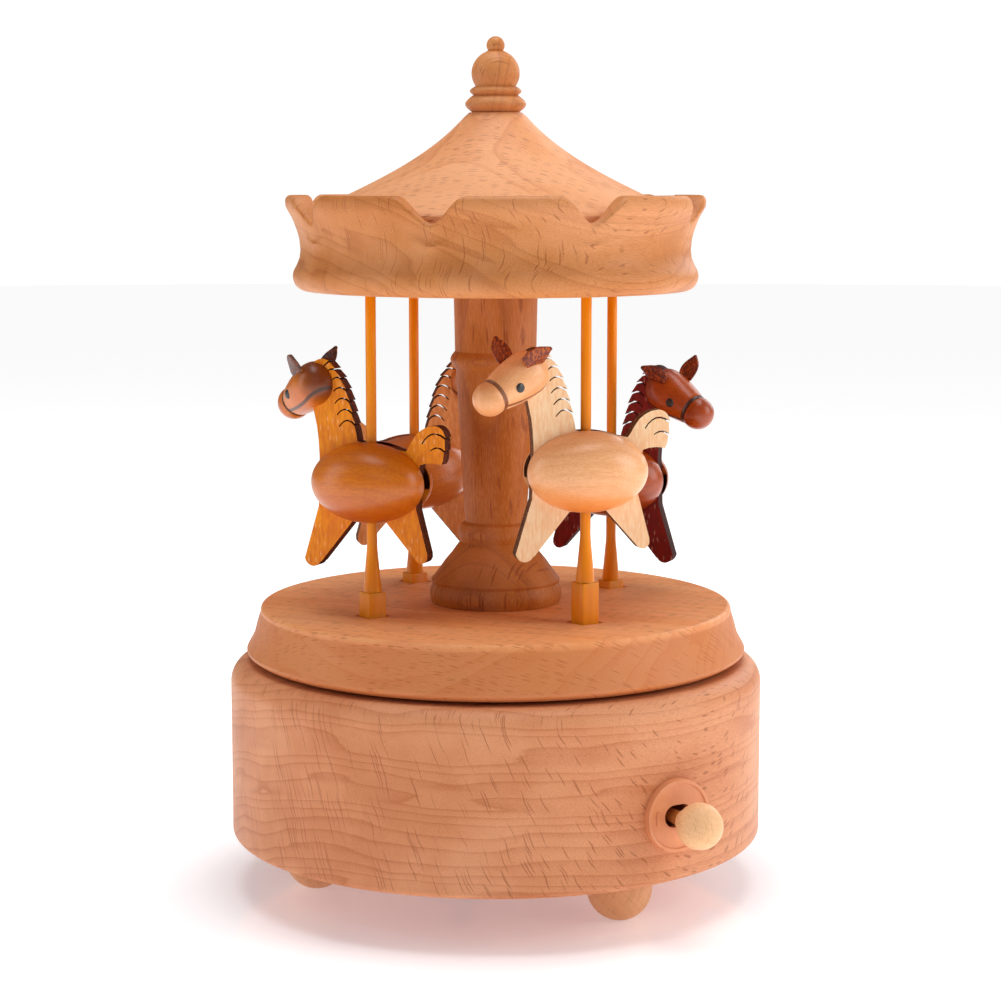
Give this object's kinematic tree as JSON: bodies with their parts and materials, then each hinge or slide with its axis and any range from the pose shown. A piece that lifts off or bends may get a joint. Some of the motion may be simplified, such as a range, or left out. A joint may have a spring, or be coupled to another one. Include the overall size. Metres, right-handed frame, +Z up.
{
  "type": "carousel music box",
  "caption": "Wind-up music box with a turned wooden base, a turning platform, column and scalloped canopy, toy horses on sliding poles and a side switch.",
  "frame": {"origin": "on the table under the axis of the base", "axes": "+Z up along the axis of the platform, -Y towards the front, +X to the right"},
  "size_m": [0.1104, 0.1104, 0.1752],
  "materials": {
    "beech": "turned beech, sanded and oiled",
    "pale_wood": "turned pale wood, sanded",
    "switch_plastic": "moulded matt plastic",
    "nylon": "plain nylon",
    "lever_wood": "stained dowel",
    "brass": "machined brass",
    "steel": "bright zinc-plated steel",
    "spring_steel": "hardened spring steel",
    "cast_zinc": "die-cast, as cast",
    "plated_key": "nickel plated",
    "amber_plastic": "translucent moulded plastic",
    "cream_board": "laser-cut plywood with burnt edges",
    "golden_board": "stained laser-cut plywood with burnt edges",
    "tan_board": "laser-cut plywood with burnt edges",
    "chestnut_board": "stained laser-cut plywood with burnt edges",
    "cream_wood": "turned and lacquered",
    "golden_wood": "turned, stained and lacquered",
    "tan_wood": "turned and lacquered",
    "chestnut_wood": "turned, stained and lacquered",
    "cream_leather": "thin brown leather",
    "golden_leather": "thin dark leather",
    "tan_leather": "thin brown leather",
    "chestnut_leather": "thin dark leather"
  },
  "bodies": {
    "base": {"base_housing": "beech", "track_floor": "beech", "base_hub": "beech", "bottom_plate": "beech", "bottom_screws": "steel", "foot_right": "pale_wood", "foot_left": "pale_wood", "foot_back": "pale_wood", "lift_track": "switch_plastic", "spindle_bush": "brass", "thrust_washer": "nylon", "switch_plate": "switch_plastic", "switch_pivot_pin": "steel", "movement_frame": "cast_zinc", "movement_screws": "steel", "comb": "spring_steel", "comb_screws": "steel", "governor_frame": "steel"},
    "turntable": {"platform": "beech", "column": "beech", "canopy_ring": "beech", "roof_cone": "beech", "finial": "beech", "drive_shaft": "steel", "turntable_gear": "brass"},
    "barrel": {"spring_barrel": "brass", "mainspring": "spring_steel"},
    "winder": {"winding_key": "plated_key", "winding_arbor": "steel"},
    "cylinder": {"music_cylinder": "brass", "cylinder_gear": "brass"},
    "governor": {"governor_wheel": "brass"},
    "fly": {"governor_fly": "steel"},
    "switch": {"switch_lever": "lever_wood", "switch_knob": "pale_wood"},
    "cream_horse": {"cream_pole": "amber_plastic", "cream_board": "cream_board", "cream_outer_body": "cream_wood", "cream_inner_body": "cream_wood", "cream_head": "cream_wood", "cream_ears": "cream_leather"},
    "golden_horse": {"golden_pole": "amber_plastic", "golden_board": "golden_board", "golden_outer_body": "golden_wood", "golden_inner_body": "golden_wood", "golden_head": "golden_wood", "golden_ears": "golden_leather"},
    "tan_horse": {"tan_pole": "amber_plastic", "tan_board": "tan_board", "tan_outer_body": "tan_wood", "tan_inner_body": "tan_wood", "tan_head": "tan_wood", "tan_ears": "tan_leather"},
    "chestnut_horse": {"chestnut_pole": "amber_plastic", "chestnut_board": "chestnut_board", "chestnut_outer_body": "chestnut_wood", "chestnut_inner_body": "chestnut_wood", "chestnut_head": "chestnut_wood", "chestnut_ears": "chestnut_leather"}
  },
  "joints": [
    {"name": "turntable_spin", "type": "hinge", "parent": "base", "child": "turntable", "pos_m": [0, 0, 0.0485], "axis": [0, 0, 1], "continuous": true},
    {"name": "barrel_spin", "type": "hinge", "parent": "base", "child": "barrel", "pos_m": [-0.0072, 0.0054, 0.02], "axis": [0, 0, 1], "continuous": true},
    {"name": "winding_turn", "type": "hinge", "parent": "base", "child": "winder", "pos_m": [-0.0072, 0.0054, 0.01], "axis": [0, 0, 1], "continuous": true},
    {"name": "cylinder_spin", "type": "hinge", "parent": "base", "child": "cylinder", "pos_m": [-0.0072, -0.0082, 0.0273], "axis": [0, -1, 0], "continuous": true},
    {"name": "governor_spin", "type": "hinge", "parent": "base", "child": "governor", "pos_m": [-0.0002, -0.0056, 0.0273], "axis": [0, -1, 0], "continuous": true},
    {"name": "fly_spin", "type": "hinge", "parent": "base", "child": "fly", "pos_m": [0.00645, -0.0056, 0.0273], "axis": [0, -1, 0], "continuous": true},
    {"name": "switch_swing", "type": "hinge", "parent": "base", "child": "switch", "pos_m": [0.02696, -0.03088, 0.0245], "axis": [0, 0, 1], "range_deg": [-5, 5]},
    {"name": "cream_bob", "type": "slide", "parent": "turntable", "child": "cream_horse", "axis": [0, 0, 1], "range_m": [-0.0073, 0.0011]},
    {"name": "golden_bob", "type": "slide", "parent": "turntable", "child": "golden_horse", "axis": [0, 0, 1], "range_m": [-0.0042, 0.0042]},
    {"name": "tan_bob", "type": "slide", "parent": "turntable", "child": "tan_horse", "axis": [0, 0, 1], "range_m": [-0.0012, 0.0072]},
    {"name": "chestnut_bob", "type": "slide", "parent": "turntable", "child": "chestnut_horse", "axis": [0, 0, 1], "range_m": [-0.0007, 0.0077]}
  ],
  "couplings": [
    {"joint": "barrel_spin", "follows": "turntable_spin", "ratio": -2},
    {"joint": "cylinder_spin", "follows": "turntable_spin", "ratio": -3.8},
    {"joint": "governor_spin", "follows": "turntable_spin", "ratio": 9.5},
    {"joint": "fly_spin", "follows": "turntable_spin", "ratio": -35.625}
  ]
}
